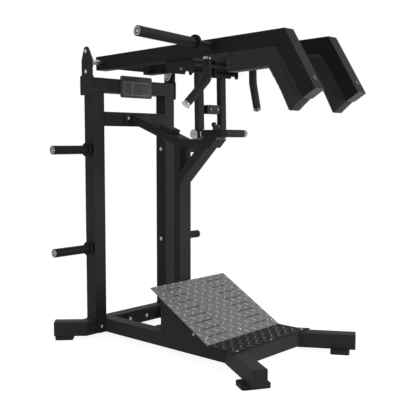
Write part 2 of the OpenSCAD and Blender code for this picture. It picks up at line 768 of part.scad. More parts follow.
// One ring of the cushion between a point on the board and one on its face
function pad_ring(a, b, inset) = [for (p = pad_section(inset))
    let(q = a + (b - a) * p[1] / pad_t) [p[0], q[0], q[1]]];
function end_inset(d) = pad_roll * (1 - sqrt(1 - pow(1 - d / pad_roll, 2))) * 0.8;
function corner_back(u) = u < 0.25 ? on_pad(-corner_in + (corner_in - cut_arm) * 4 * u, pad_back)
    : u > 0.75 ? on_pad(corner_in - (corner_in - cut_leg) * 4 * (1 - u), pad_back)
    : curve(on_pad(-cut_arm, pad_back), on_pad(-pad_back, pad_back),
        on_pad(cut_leg, pad_back), 2 * u - 0.5);

roll_steps = [0, 1, 3, 5.5];
pad_rings = concat(
    [for (d = roll_steps) let(s = d - pad_arm_len)
        pad_ring(on_pad(s, pad_back), on_pad(s, pad_face), end_inset(d))],
    [for (k = [0:3]) let(s = -pad_arm_len + pad_roll
        + (pad_arm_len - pad_roll - corner_in) * k / 4)
        pad_ring(on_pad(s, pad_back), on_pad(s, pad_face), 0)],
    [for (u = [0:0.125:1]) pad_ring(corner_back(u),
        curve(on_pad(-corner_in, pad_face), on_pad(7 - corner_in, pad_face),
            on_pad(corner_in, pad_face), u), 0)],
    [for (k = [1:4]) let(s = corner_in + (pad_leg_len - pad_roll - corner_in) * k / 4)
        pad_ring(on_pad(s, pad_back), on_pad(s + end_lean * k / 4, pad_face), 0)],
    [for (k = [3:-1:0]) let(s = pad_leg_len - roll_steps[k])
        pad_ring(on_pad(s, pad_back), on_pad(s + end_lean, pad_face),
            end_inset(roll_steps[k]))]);

module swept(rings) {
    n = len(rings[0]);
    last = len(rings) - 1;
    polyhedron([for (r = rings) each r], concat(
        [[for (k = [n - 1:-1:0]) k]],
        [for (i = [0:last - 1], k = [0:n - 1]) let(a = i * n + k, b = i * n + (k + 1) % n)
            each [[a, b, b + n], [a, b + n, a + n]]],
        [[for (k = [0:n - 1]) last * n + k]]));
}

module pad(side) part("#26272a") lever_frame() translate([side * lever_x, 0, 0]) swept(pad_rings);
module pad_left() pad(-1);
module pad_right() pad(1);

// Boards between the tubes and the cushions
module pad_boards() part("#17181a") lever_frame() both_sides()
    for (run = [[-pad_arm_len + 8, -board_end], [board_end, pad_leg_len - 8]])
    translate([lever_x - pad_w / 2 + 6, 0, 0]) rotate([90, 0, 90]) linear_extrude(pad_w - 12)
        polygon([on_pad(run[0], board_gap), on_pad(run[1], board_gap), on_pad(run[1], board_t),
            on_pad(run[0], board_t)]);

// Weight horns of the lever, cut flush with the arms' outer faces
module at_lever_horn() lever_frame() both_sides() translate([lever_x + half, -lever_horn_y, 0])
    rotate([0, -lever_horn_rise, 0]) children();

module lever_horns() part("#1d1e1f") difference() {
    at_lever_horn() translate([-8, 0, 0]) horn(lever_horn_neck + 8, lever_horn_len, 38);
    lever_frame() both_sides() translate([lever_x + half - 20, -lever_horn_y - 50, -50])
        cube([20, 100, 100]);
}

module lever_horn_caps() part("#c9cbcd") at_lever_horn() horn_cap(lever_horn_neck, lever_horn_len);

// Hand grips: bent tubes that hang from the arms and point outwards and to the rear
grip_bend = 42.5;
grip_turn = 27.7;
grip_radius = 45;
ring_h = 14;
tip_neck = 12;
tip_disc = 9;
grip_short = grip_radius * tan(grip_bend / 2);
module at_grip() lever_frame() both_sides() translate([lever_x, -grip_y, -half])
    rotate([0, 0, grip_turn]) children();
module at_grip_tip() translate([grip_radius * (1 - cos(grip_bend)), 0,
    -grip_drop + grip_short - grip_radius * sin(grip_bend)]) rotate([0, 180 - grip_bend, 0])
    children();

// The straight tubes reach bend_in into the bend, which is thicker by bend_swell all round
bend_in = 0.5;
bend_swell = 0.3;
module grips() part("#191a1b") at_grip() {
    translate([0, 0, -grip_drop + grip_short - bend_in])
        cylinder(d = grip_d, h = grip_drop - grip_short + bend_in);
    translate([grip_radius, 0, -grip_drop + grip_short]) rotate([90, 0, 0]) rotate([0, 0, 180])
        rotate_extrude(angle = grip_bend) translate([grip_radius, 0])
        circle(d = grip_d + 2 * bend_swell);
    at_grip_tip() translate([0, 0, -bend_in])
        cylinder(d = grip_d, h = grip_len - grip_short + bend_in);
}

module grip_trim() part("#d0d2d4") at_grip() {
    translate([0, 0, -ring_h]) difference() {
        cylinder(d = grip_d + 5, h = ring_h);
        translate([0, 0, -1]) cylinder(d = grip_d, h = ring_h + 2);
    }
    at_grip_tip() translate([0, 0, grip_len - grip_short]) rotate_extrude() {
        square([grip_d / 2 - 3, tip_neck + 1]);
        translate([0, tip_neck]) square([grip_d / 2, tip_disc]);
        translate([0, tip_neck]) square([grip_d / 2 + 1.5, tip_disc - 3]);
        translate([grip_d / 2 - 1.5, tip_neck + tip_disc - 3]) circle(3);
    }
}

// Closing plates of the lever tubes and the round plugs on the legs
plug_d = 28;
module arm_end_caps() part("#8b8d8e") lever_frame() both_sides() translate([lever_x, 0, 0]) {
    translate([0, lever_tail, 0]) rotate([-90, 0, 0]) linear_extrude(end_cap)
        round_rect(lever_size, lever_size, tube_corner);
    translate([0, leg_end[0], leg_end[1]]) rotate([leg_bend, 0, 0]) rotate([90, 0, 0])
        linear_extrude(end_cap) round_rect(lever_size, lever_size, tube_corner);
    translate([0, leg_end[0], leg_end[1]]) rotate([leg_bend, 0, 0]) translate([0, 58, half])
        cylinder(d = plug_d, h = 2.5);
}

// Catch: everything here turns about the catch shaft
module catch_frame() translate([0, -catch_y, catch_z]) rotate([-catch_lean, 0, 0]) children();
catch_wall = 2.5;
rail_low = 112;
rail_h = 49;
rail_t = 8;

module catch_bars() part("#222324") catch_frame() both_sides() difference() {
    translate([bar_x, -catch_offset, 0]) difference() {
        linear_extrude(catch_h) round_rect(bar_w, bar_d, 4);
        translate([0, 0, -1]) linear_extrude(catch_h + 2)
            round_rect(bar_w - 2 * catch_wall, bar_d - 2 * catch_wall, 4 - catch_wall);
    }
    rotate([0, 90, 0]) cylinder(d = hub_d, h = 2 * hub_end);
    translate([0, -catch_offset, catch_h]) rotate([0, 90, 0]) cylinder(d = rest_d, h = 2 * hub_end);
}

module catch_rail() part("#1c1d1e") catch_frame()
    block([-bar_x + bar_w / 2, bar_d / 2 - catch_offset - rail_t, rail_low],
        [bar_x - bar_w / 2, bar_d / 2 - catch_offset, rail_low + rail_h]);

block_half = 50;
block_t = 33;
module catch_block() part("#26272a") catch_frame()
    translate([0, bar_d / 2 - catch_offset - rail_t, rail_low + rail_h / 2]) rotate([90, 0, 0])
    linear_extrude(block_t) round_rect(2 * block_half, rail_h, 4);

module catch_hubs() part("#232425") catch_frame() both_sides() translate([hub_start, 0, 0])
    rotate([0, 90, 0]) difference() {
        cylinder(d = hub_d, h = hub_end - hub_start);
        translate([0, 0, -1]) cylinder(d = catch_shaft_d, h = hub_end - hub_start + 2);
    }

module catch_shaft() part("#9fa1a3") catch_frame() rotate([0, 90, 0])
    cylinder(d = catch_shaft_d, h = 2 * hub_end, center = true);

module catch_rest() part("#232425") catch_frame() translate([0, -catch_offset, catch_h])
    rotate([0, 90, 0]) cylinder(d = rest_d, h = 2 * rest_half, center = true);

// Handle: a leg forward from the left hub, a bend, and a grip across
handle_radius = 50;
handle_root = 38;
handle_end = 119;
module catch_handle() part("#1a1b1c") catch_frame() {
    translate([-bar_x, 0, 0]) rotate([90, 0, 0]) difference() {
        cylinder(d = handle_d, h = handle_reach - handle_radius);
        rotate([0, 90, 0]) cylinder(d = hub_d, h = 2 * hub_end, center = true);
        translate([-bar_w / 2, 0, -1]) cube([bar_w, bar_d, catch_offset + bar_d / 2 + 1]);
    }
    translate([-bar_x + handle_radius, -handle_reach + handle_radius, 0]) rotate([0, 0, 180])
        rotate_extrude(angle = 90) translate([handle_radius, 0]) circle(d = handle_d);
}

module catch_grip() part("#191a1b") catch_frame()
    translate([-bar_x + handle_radius, -handle_reach, 0]) rotate([0, 90, 0])
    cylinder(d = handle_d, h = handle_end + bar_x - handle_radius);

// Chrome trim of the catch: hub discs, handle ring and cap, and socket bolts
module catch_trim() part("#d0d2d4") catch_frame() {
    both_sides() translate([hub_end, 0, 0]) rotate([0, 90, 0]) {
        cylinder(d = hub_d + 2, h = disc_t);
        translate([0, 0, disc_t - 0.1]) scale(0.7) domed_bolt();
    }
    translate([-bar_x, -handle_root, 0]) rotate([90, 0, 0]) difference() {
        cylinder(d = handle_d + 5, h = 8);
        translate([0, 0, -1]) cylinder(d = handle_d, h = 10);
    }
    translate([handle_end, -handle_reach, 0]) rotate([0, 90, 0])
        cylinder(d = handle_d - 1, h = cap_t);
    for (x = [-28, 28]) translate([x, bar_d / 2 - catch_offset - rail_t - block_t,
        rail_low + rail_h / 2]) rotate([90, 0, 0]) difference() {
            cylinder(d = 13, h = 5);
            translate([0, 0, 2]) cylinder(d = 7, h = 4, $fn = 6);
        }
}

rear_beam();
rear_foot_left();
rear_foot_right();
side_beam_left();
side_beam_right();
beam_flanges();
front_beam();
front_foot_left();
front_foot_right();
cross_beam();
rubber_feet();
upright_left();
upright_right();
top_beam();
second_beam();
bearing_plate_left();
bearing_plate_right();
bearing_housings();
column();
arm_flange();
support_arm();
brace();
stop_block();
catch_sleeve();
placard_plate();
placard_panels();
storage_horns();
storage_caps();
foot_plate();
step_plate();
side_panels();
plate_posts();
frame_bolts();
tube_caps();
lever_arm_left();
lever_arm_right();
lever_legs();
pivot_shaft();
pivot_tube();
lever_crossbar();
latch_channel();
latch_plates();
latch_hook();
pad_left();
pad_right();
pad_boards();
lever_horns();
lever_horn_caps();
grips();
grip_trim();
arm_end_caps();
catch_bars();
catch_rail();
catch_block();
catch_hubs();
catch_shaft();
catch_rest();
catch_handle();
catch_grip();
catch_trim();
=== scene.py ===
# Standing hack squat machine: finishes, soft parts and small detail around the CAD frame.
# X is across (right is +X), -Y is towards the user, Z is up, all in metres.
import json
import math

import bmesh
import bpy
import numpy as np
from mathutils import Matrix, Vector


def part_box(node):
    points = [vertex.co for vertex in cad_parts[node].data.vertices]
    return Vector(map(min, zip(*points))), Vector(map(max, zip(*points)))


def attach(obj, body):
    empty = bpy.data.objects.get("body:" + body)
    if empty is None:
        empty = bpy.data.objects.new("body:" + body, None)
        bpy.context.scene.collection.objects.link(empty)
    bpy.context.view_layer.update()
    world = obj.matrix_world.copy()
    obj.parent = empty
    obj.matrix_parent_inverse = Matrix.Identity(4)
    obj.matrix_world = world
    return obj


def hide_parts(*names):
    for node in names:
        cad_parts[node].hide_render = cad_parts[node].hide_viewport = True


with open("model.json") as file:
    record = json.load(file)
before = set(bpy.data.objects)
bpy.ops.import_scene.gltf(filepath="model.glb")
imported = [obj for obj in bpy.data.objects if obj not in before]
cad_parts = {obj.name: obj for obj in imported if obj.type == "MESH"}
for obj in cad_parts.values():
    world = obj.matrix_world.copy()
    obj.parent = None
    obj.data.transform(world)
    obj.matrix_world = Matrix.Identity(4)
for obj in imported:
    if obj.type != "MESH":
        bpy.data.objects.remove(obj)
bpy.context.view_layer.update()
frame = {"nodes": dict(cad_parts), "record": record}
nodes = frame["nodes"]
slot_of = {row["node"]: row["material_slot"] for row in frame["record"]["subparts"]}

# Y of the uprights' front faces, which the measured places below count from
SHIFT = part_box("upright_left")[0].y


# Camera, stage and light

CAMERA_AZIMUTH = -48.361
CAMERA_ELEVATION = 5.296
CAMERA_ROLL = 0.127
CAMERA_DISTANCE = 4.631
CAMERA_ASIDE = -0.4451
CAMERA_DOWN = -0.7509
CAMERA_LENS = 63.44
SENSOR = 36.0


def make_camera():
    turn, rise = math.radians(CAMERA_AZIMUTH), math.radians(CAMERA_ELEVATION)
    back = Vector((math.sin(turn) * math.cos(rise), -math.cos(turn) * math.cos(rise),
                   math.sin(rise)))
    right = (-back).cross(Vector((0, 0, 1))).normalized()
    up = right.cross(-back)
    roll = math.radians(CAMERA_ROLL)
    right, up = (math.cos(roll) * right + math.sin(roll) * up,
                 math.cos(roll) * up - math.sin(roll) * right)
    place = back * CAMERA_DISTANCE - right * CAMERA_ASIDE - up * CAMERA_DOWN
    place.y += SHIFT
    camera = bpy.data.objects.new("camera", bpy.data.cameras.new("camera"))
    bpy.context.scene.collection.objects.link(camera)
    camera.data.lens = CAMERA_LENS
    camera.data.sensor_width = SENSOR
    camera.matrix_world = Matrix.Translation(place) @ Matrix((right, up, back)).transposed().to_4x4()
    bpy.context.scene.camera = camera


def soft_light(name, place, target, size, power):
    lamp = bpy.data.lights.new(name, "AREA")
    lamp.shape = "RECTANGLE"
    lamp.size, lamp.size_y = size
    lamp.energy = power
    lamp_object = bpy.data.objects.new(name, lamp)
    bpy.context.scene.collection.objects.link(lamp_object)
    lamp_object.location = place
    aim = Vector(target) - Vector(place)
    lamp_object.rotation_euler = aim.to_track_quat("-Z", "Y").to_euler()


def make_lights():
    middle = (0.0, 0.0, 0.9)
    soft_light("key_light", (1.6, -4.8, 1.6), middle, (2.4, 2.0), 175)
    soft_light("front_light", (-0.6, -4.2, 4.2), (0, -0.4, 1.5), (1.6, 1.2), 40)
    soft_light("leg_light", (3.0, -3.1, 3.6), (0, -1.3, 1.5), (1.4, 1.4), 60)
    soft_light("left_light", (-4.6, 0.4, 0.9), (0, 0, 0.7), (1.6, 2.0), 48)
    soft_light("back_light", (0.6, 4.0, 3.0), middle, (3.0, 2.0), 40)
    soft_light("top_light", (0.0, 0.0, 4.6), middle, (3.0, 3.0), 16)


# Light that the world gives the object, apart from the white that the camera sees
WORLD_FILL = 0.42


def plain_sight(tree):
    """1 for what the camera, a reflection or a look through glass sees, and 0 for light."""
    path = tree.nodes.new("ShaderNodeLightPath")
    seen = path.outputs["Is Camera Ray"]
    for label in ("Is Glossy Ray", "Is Transmission Ray"):
        either = tree.nodes.new("ShaderNodeMath")
        either.operation = "MAXIMUM"
        tree.links.new(seen, either.inputs[0])
        tree.links.new(path.outputs[label], either.inputs[1])
        seen = either.outputs[0]
    return seen


def make_world():
    world = bpy.data.worlds.new("studio")
    bpy.context.scene.world = world
    world.use_nodes = True
    tree = world.node_tree
    tree.nodes.clear()
    out = tree.nodes.new("ShaderNodeOutputWorld")
    fill = tree.nodes.new("ShaderNodeBackground")
    fill.inputs["Strength"].default_value = WORLD_FILL
    seen = tree.nodes.new("ShaderNodeBackground")
    seen.inputs["Color"].default_value = (1, 1, 1, 1)
    seen.inputs["Strength"].default_value = 1.0
    mix = tree.nodes.new("ShaderNodeMixShader")
    tree.links.new(plain_sight(tree), mix.inputs["Fac"])
    tree.links.new(fill.outputs[0], mix.inputs[1])
    tree.links.new(seen.outputs[0], mix.inputs[2])
    tree.links.new(mix.outputs[0], out.inputs["Surface"])


# Half the side of the floor, the share of its shadow that shows, and its brightness as a backdrop
FLOOR_HALF = 12.0
FLOOR_SHADOW = 0.22
FLOOR_GLOW = 1.18


def make_floor():
    mesh = bpy.data.meshes.new("floor")
    h = FLOOR_HALF
    mesh.from_pydata([(-h, -h, 0), (h, -h, 0), (h, h, 0), (-h, h, 0)], [], [(0, 1, 2, 3)])
    floor = bpy.data.objects.new("floor", mesh)
    bpy.context.scene.collection.objects.link(floor)
    material = bpy.data.materials.new("pale_floor")
    material.use_nodes = True
    tree = material.node_tree
    matte = tree.nodes["Principled BSDF"]
    matte.inputs["Base Color"].default_value = (0.94, 0.94, 0.94, 1)
    matte.inputs["Roughness"].default_value = 0.9
    glow = tree.nodes.new("ShaderNodeEmission")
    glow.inputs["Strength"].default_value = FLOOR_GLOW
    share = tree.nodes.new("ShaderNodeMath")
    share.operation = "MULTIPLY"
    share.inputs[1].default_value = 1 - FLOOR_SHADOW
    mix = tree.nodes.new("ShaderNodeMixShader")
    tree.links.new(plain_sight(tree), share.inputs[0])
    tree.links.new(share.outputs[0], mix.inputs["Fac"])
    tree.links.new(matte.outputs[0], mix.inputs[1])
    tree.links.new(glow.outputs[0], mix.inputs[2])
    tree.links.new(mix.outputs[0], tree.nodes["Material Output"].inputs["Surface"])
    mesh.materials.append(material)


# Materials

class Value:
    """An output of a shader node. Arithmetic on it adds Math nodes."""

    def __init__(self, finish, socket):
        self.finish, self.socket = finish, socket

    def math(self, operation, *values):
        return self.finish.node("ShaderNodeMath", {"operation": operation}, dict(enumerate(values)))

    def __add__(self, other):
        return self.math("ADD", self, other)

    def __mul__(self, other):
        return self.math("MULTIPLY", self, other)

    __radd__ = __add__
    __rmul__ = __mul__

    def clamp(self):
        return self.finish.node("ShaderNodeClamp", {}, {"Value": self})


class Finish:
    """A material that is being made, with one method for its nodes."""

    def __init__(self, name, **settings):
        self.material = bpy.data.materials.new(name)
        self.material.use_nodes = True
        self.tree = self.material.node_tree
        self.shader = self.tree.nodes["Principled BSDF"]
        self.place = self.node("ShaderNodeTexCoord", output="Object")
        for label, value in settings.items():
            self.set(label.replace("_", " ").title(), value)

    def feed(self, socket, value):
        if isinstance(value, Value):
            self.tree.links.new(value.socket, socket)
        elif isinstance(value, tuple) and len(value) == 3 and socket.type == "RGBA":
            socket.default_value = (*value, 1)
        else:
            socket.default_value = value

    def set(self, label, value):
        self.feed(self.shader.inputs[label.replace("Ior", "IOR")], value)

    def node(self, kind, settings=None, inputs=None, output=0):
        made = self.tree.nodes.new(kind)
        for name, value in (settings or {}).items():
            if name == "stops":
                ramp = made.color_ramp
                while len(ramp.elements) < len(value):
                    ramp.elements.new(0.5)
                for element, (at, tone) in zip(ramp.elements, value):
                    element.position = at
                    element.color = (tone, tone, tone, 1)
            else:
                setattr(made, name, value)
        for name, value in (inputs or {}).items():
            self.feed(made.inputs[name], value)
        return Value(self, made.outputs[output])

    def noise(self, scale, detail=2.0, roughness=0.5, place=None):
        return self.node("ShaderNodeTexNoise", {}, {
            "Vector": place or self.place, "Scale": scale, "Detail": detail, "Roughness": roughness})

    def creases(self, scale):
        """Distance to the nearest border between small cells."""
        return self.node("ShaderNodeTexVoronoi", {"feature": "DISTANCE_TO_EDGE"}, {
            "Vector": self.place, "Scale": scale})

    def ramp(self, value, *stops):
        return self.node("ShaderNodeValToRGB", {"stops": stops}, {"Fac": value})

    def mix(self, factor, a, b):
        return self.node("ShaderNodeMix", {"data_type": "RGBA"}, {0: factor, 6: a, 7: b}, output=2)

    def axis(self, name):
        return self.node("ShaderNodeSeparateXYZ", {}, {"Vector": self.place}, output=name)

    def bump(self, height, depth, strength=1.0, under=None):
        inputs = {"Height": height, "Distance": depth, "Strength": strength}
        if under:
            inputs["Normal"] = under
        return self.node("ShaderNodeBump", {}, inputs)


def shade(tone, factor):
    """A colour made lighter or darker."""
    return tuple(factor * c for c in tone)


def powder_coat(name, tone, gloss=0.52):
    """Satin black powder coat: a fine orange peel, faint cloudy gloss and a little dust low down."""
    coat = Finish(name, specular_ior_level=0.05)
    clouds = coat.noise(7.0, 3.0)
    speck = coat.noise(900.0, 1.0)
    dust = coat.ramp(coat.axis("Z") + coat.noise(14.0, 4.0) * 0.25, (0.10, 1.0), (0.38, 0.0))
    base = coat.mix(clouds, shade(tone, 0.82), shade(tone, 1.18))
    base = coat.mix(speck * 0.12, base, (0.045, 0.045, 0.046))
    base = coat.mix(dust * coat.noise(60.0, 4.0) * 0.14, base, (0.11, 0.105, 0.10))
    coat.set("Base Color", base)
    coat.set("Roughness", gloss - 0.05 + clouds * 0.10 + speck * 0.05 + dust * 0.05)
    peel = coat.noise(420.0, 2.0, 0.6)
    coat.set("Normal", coat.bump(peel, 0.00012, 0.35))
    return coat.material


def rubber(name, tone):
    """Moulded black rubber: matt, with a fine grain and a grey bloom."""
    skin = Finish(name, specular_ior_level=0.12)
    bloom = skin.noise(22.0, 5.0, 0.6)
    grain = skin.noise(700.0, 3.0, 0.7)
    base = skin.mix(bloom, tone, shade(tone, 2.1))
    skin.set("Base Color", skin.mix(grain * 0.25, base, (0.04, 0.04, 0.04)))
    skin.set("Roughness", 0.62 + bloom * 0.16 + grain * 0.08)
    skin.set("Normal", skin.bump(grain, 0.0003, 0.5))
    return skin.material


def chrome(name):
    """Polished chrome with faint smears and hairline scratches, its base colour kept dark and patchy as
    painted dark reflection.
    """
    plating = Finish(name, metallic=1.0)
    smear_and_dark_reflection = plating.noise(40.0, 4.0)
    lines = plating.noise(260.0, 2.0, 0.7)
    # Painted dark reflection: a base colour far below bright chrome, patchy along the smear noise
    plating.set("Base Color", plating.mix(smear_and_dark_reflection, (0.20, 0.202, 0.205), (0.42, 0.424, 0.43)))
    plating.set("Roughness", 0.07 + smear_and_dark_reflection * 0.10 + lines * 0.05)
    plating.set("Normal", plating.bump(lines, 0.00002, 0.2))
    return plating.material


def bright_steel(name):
    """Ground steel shaft: fine rings of turning marks and darker oily patches."""
    steel = Finish(name, metallic=1.0)
    rings = steel.node("ShaderNodeTexWave", {"bands_direction": "X"}, {
        "Vector": steel.place, "Scale": 420.0, "Distortion": 0.6, "Detail": 2.0}, output=1)
    oil = steel.noise(18.0, 4.0)
    steel.set("Base Color", steel.mix(oil, (0.42, 0.42, 0.43), (0.62, 0.62, 0.63)))
    steel.set("Roughness", 0.22 + rings * 0.10 + oil * 0.08)
    steel.set("Normal", steel.bump(rings, 0.00003, 0.3))
    return steel.material


def cast_metal(name):
    """Painted cast housing: silvery, with a sandy casting grain."""
    cast = Finish(name, metallic=0.6)
    sand = cast.noise(380.0, 4.0, 0.7)
    patch = cast.noise(20.0, 3.0)
    cast.set("Base Color", cast.mix(patch, (0.32, 0.33, 0.34), (0.48, 0.49, 0.50)))
    cast.set("Roughness", 0.40 + sand * 0.25)
    cast.set("Normal", cast.bump(sand, 0.0004, 0.6))
    return cast.material


def tread_metal(name, low, high, rough, metal=0.35, shine=0.4):
    """Rolled tread plate: brushed grain across the slope, mottled grey and scuffs from shoes."""
    plate = Finish(name, metallic=metal, specular_ior_level=shine)
    mottle = plate.noise(11.0, 4.0, 0.6)
    stretch = plate.node("ShaderNodeMapping", {}, {"Vector": plate.place, "Scale": (30.0, 900.0, 900.0)})
    brush = plate.noise(1.0, 3.0, 0.6, stretch)
    scuff = plate.ramp(plate.noise(46.0, 6.0, 0.7), (0.52, 0.0), (0.66, 1.0))
    base = plate.mix(mottle, low, high)
    base = plate.mix(brush * 0.3, base, shade(high, 1.25))
    base = plate.mix(scuff * 0.25, base, shade(low, 0.55))
    plate.set("Base Color", base)
    plate.set("Roughness", rough + mottle * 0.12 + scuff * 0.10)
    plate.set("Normal", plate.bump(brush, 0.00006, 0.35))
    return plate.material


def vinyl(name):
    """Black upholstery vinyl: a leather grain of small creased cells and a soft sheen, the creases
    painted darker than the cells' tops as painted shade.
    """
    hide = Finish(name, specular_ior_level=0.13)
    warp = hide.noise(60.0, 2.0)
    creases = hide.creases(620.0)
    pores = hide.noise(1500.0, 2.0)
    clouds = hide.noise(9.0, 3.0)
    base = hide.mix(clouds, (0.009, 0.009, 0.0095), (0.015, 0.015, 0.016))
    # Painted shade: the creases between the grain's cells darker and the cells' middles lighter
    hide.set("Base Color", hide.mix(creases * 0.5 + warp * 0.2, base, (0.019, 0.019, 0.020)))
    hide.set("Roughness", 0.42 + clouds * 0.12 + pores * 0.06)
    grain = hide.bump(creases.clamp(), 0.0005, 0.45)
    hide.set("Normal", hide.bump(pores, 0.00012, 0.3, grain))
    return hide.material


def board(name):
    """Edge of the black-stained ply board behind a pad."""
    ply = Finish(name, specular_ior_level=0.3)
    layers = ply.node("ShaderNodeTexWave", {"bands_direction": "Z"}, {
        "Vector": ply.place, "Scale": 130.0, "Distortion": 1.5, "Detail": 3.0}, output=1)
    ply.set("Base Color", ply.mix(layers, (0.005, 0.0047, 0.0045), (0.012, 0.011, 0.010)))
    ply.set("Roughness", 0.65 + layers * 0.15)
    ply.set("Normal", ply.bump(layers, 0.0002, 0.4))
    return ply.material


def plastic(name, low, high, rough=0.42):
    """Moulded plastic with a fine spark-eroded grain."""
    mould = Finish(name, specular_ior_level=0.2)
    grain = mould.noise(800.0, 2.0, 0.6)
    flow = mould.noise(8.0, 3.0)
    mould.set("Base Color", mould.mix(flow, low, high))
    mould.set("Roughness", rough + grain * 0.14 + flow * 0.05)
    mould.set("Normal", mould.bump(grain, 0.0001, 0.35))
    return mould.material


def make_materials():
    return {
        "frame_paint": powder_coat("frame_paint", (0.0175, 0.0176, 0.0177)),
        "lever_paint": powder_coat("lever_paint", (0.0090, 0.0091, 0.0092)),
        "plate_paint": powder_coat("plate_paint", (0.0185, 0.0186, 0.0187), 0.50),
        "horn_paint": powder_coat("horn_paint", (0.0100, 0.0100, 0.0102), 0.46),
        "rubber": rubber("rubber", (0.0075, 0.0075, 0.0075)),
        "grip_rubber": rubber("grip_rubber", (0.0085, 0.0085, 0.0085)),
        "chrome": chrome("chrome"),
        "bright_steel": bright_steel("bright_steel"),
        "cast_housing": cast_metal("cast_housing"),
        "tread_plate": tread_metal("tread_plate", (0.098, 0.099, 0.100), (0.128, 0.129, 0.131), 0.42),
        "tread_dark": tread_metal("tread_dark", (0.009, 0.009, 0.0092), (0.015, 0.015, 0.0152), 0.60,
                                  0.0, 0.04),
        "vinyl": vinyl("vinyl"),
        "board": board("board"),
        "placard_plastic": plastic("placard_plastic", (0.034, 0.034, 0.035), (0.045, 0.045, 0.046), 0.6),
        "placard_panel": plastic("placard_panel", (0.040, 0.040, 0.041), (0.055, 0.055, 0.056), 0.6),
        # Bars lighter than the plates they are rolled into, as painted highlights on the bars
        "incline_bar_painted_glint": tread_metal("incline_bar_painted_glint", (0.19, 0.19, 0.193), (0.27, 0.27, 0.274), 0.22),
        "step_bar_painted_glint": tread_metal("step_bar_painted_glint", (0.022, 0.022, 0.023), (0.045, 0.045, 0.046), 0.22, 0.6),
        "placard_trim": plastic("placard_trim", (0.15, 0.15, 0.152), (0.20, 0.20, 0.202), 0.5),
        "end_plate": plastic("end_plate", (0.022, 0.022, 0.0225), (0.034, 0.034, 0.035)),
        "cap_plate": plastic("cap_plate", (0.006, 0.006, 0.0062), (0.010, 0.010, 0.0102), 0.6),
        "block_plastic": plastic("block_plastic", (0.010, 0.010, 0.0105), (0.016, 0.016, 0.0165), 0.5),
    }


# CAD nodes whose finish here isn't the one of their material slot
NODE_FINISH = {"arm_end_caps": "end_plate", "lever_arm_left": "lever_paint",
               "lever_arm_right": "lever_paint", "lever_legs": "lever_paint"}


def dress_nodes(materials):
    for name, node in nodes.items():
        node.data.materials.clear()
        node.data.materials.append(materials[NODE_FINISH.get(name, slot_of[name])])


# Small helpers for the modelled pieces

def mm(x, y, z):
    """A place in millimetres, counted along Y from the uprights' front faces, as metres."""
    return Vector((x / 1000, y / 1000 + SHIFT, z / 1000))


def new_piece(name, shape, finish, body=None):
    """Turns a bmesh into a piece with outward faces, a material and the body that it rides on."""
    bmesh.ops.recalc_face_normals(shape, faces=shape.faces)
    mesh = bpy.data.meshes.new(name)
    shape.to_mesh(mesh)
    shape.free()
    mesh.materials.append(finish)
    made = bpy.data.objects.new(name, mesh)
    bpy.context.scene.collection.objects.link(made)
    if body:
        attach(made, body)
    return made


def turned(shape, place, axis, profile, sides=24):
    """Adds a closed turned solid: profile is [(distance along the axis, radius), ...] in mm."""
    spin = Vector((0, 0, 1)).rotation_difference(Vector(axis)).to_matrix()
    rings = []
    for along, radius in profile:
        corners = [k * math.tau / sides for k in range(sides)] if radius else [0]
        rings.append([shape.verts.new(place + spin @ Vector((
            radius * math.cos(a), radius * math.sin(a), along)) / 1000) for a in corners])
    for low, high in zip(rings, rings[1:]):
        for k in range(sides):
            corner = [low[k % len(low)], low[(k + 1) % len(low)],
                      high[(k + 1) % len(high)], high[k % len(high)]]
            corner = [v for i, v in enumerate(corner) if v not in corner[:i]]
            if len(corner) > 2:
                shape.faces.new(corner)
    for ring in (rings[0], rings[-1]):
        if len(ring) > 2:
            shape.faces.new(ring)


def rounded_box(shape, low, high, radius):
    """Adds a box with rounded edges to a bmesh. The radius of the edges is in mm."""
    centre, size = (low + high) / 2, high - low
    made = bmesh.ops.create_cube(shape, size=1.0)["verts"]
    for v in made:
        v.co = centre + Vector(c * s for c, s in zip(v.co, size))
    edges = {e for v in made for e in v.link_edges}
    bmesh.ops.bevel(shape, geom=list(edges), offset=radius / 1000, segments=3, profile=0.5,
                    affect="EDGES")


# The lever's own axes: s runs along the tubes from their inner corner, to the rear when
# negative and down the leg when positive, and h is the distance from the tubes, in mm

LEVER_RISE = math.radians(1.6)
LEG_BEND = math.radians(60)
LEVER_LEN = 1328
LEVER_HALF = 40
PIVOT = (50, 1629)
LEVER_X = 192.5


def on_lever(y, z):
    c, s = math.cos(LEVER_RISE), math.sin(LEVER_RISE)
    return PIVOT[0] + y * c + z * s, PIVOT[1] - y * s + z * c


def on_pad(s, h):
    y, z = -LEVER_LEN + 2 * LEVER_HALF * math.tan(LEG_BEND / 2), -LEVER_HALF
    if s < 0:
        return on_lever(y - s, z - h)
    down, out = (-math.cos(LEG_BEND), -math.sin(LEG_BEND)), (math.sin(LEG_BEND), -math.cos(LEG_BEND))
    return on_lever(y + s * down[0] + h * out[0], z + s * down[1] + h * out[1])


# Shoulder pads, in mm: half the width, the lengths along the arm and the leg with the lean of the
# lower end, the distances of the back and the face from the tubes, the gap behind a cushion before
# it swells, how much smaller it starts, where its back turns the corner, and its edges' radius

PAD_HALF = 44.5
PAD_ARM, PAD_LEG, PAD_LEAN = 318, 298, 15
PAD_BACK, PAD_FACE = 0.8, 94.3
PAD_BACK_GAP = 0.4
PAD_START = 2.2
PAD_CORNER_CUT = 12
PAD_CORNER_BACK = 15
PAD_EDGE = 5.5

# Two places that give a board face its direction and where the face begins, along the tubes
PAD_PLANE_ENDS = ((-60, -300, -20), (60, 280, PAD_CORNER_CUT))

# How the cloth swells: the furthest move of a point and the size of a voxel in metres, the
# pressure, and the last step
PAD_SWELL = 0.005
PAD_VOXEL = 0.0045
PAD_PRESSURE = 4.0
PAD_STEPS = 20


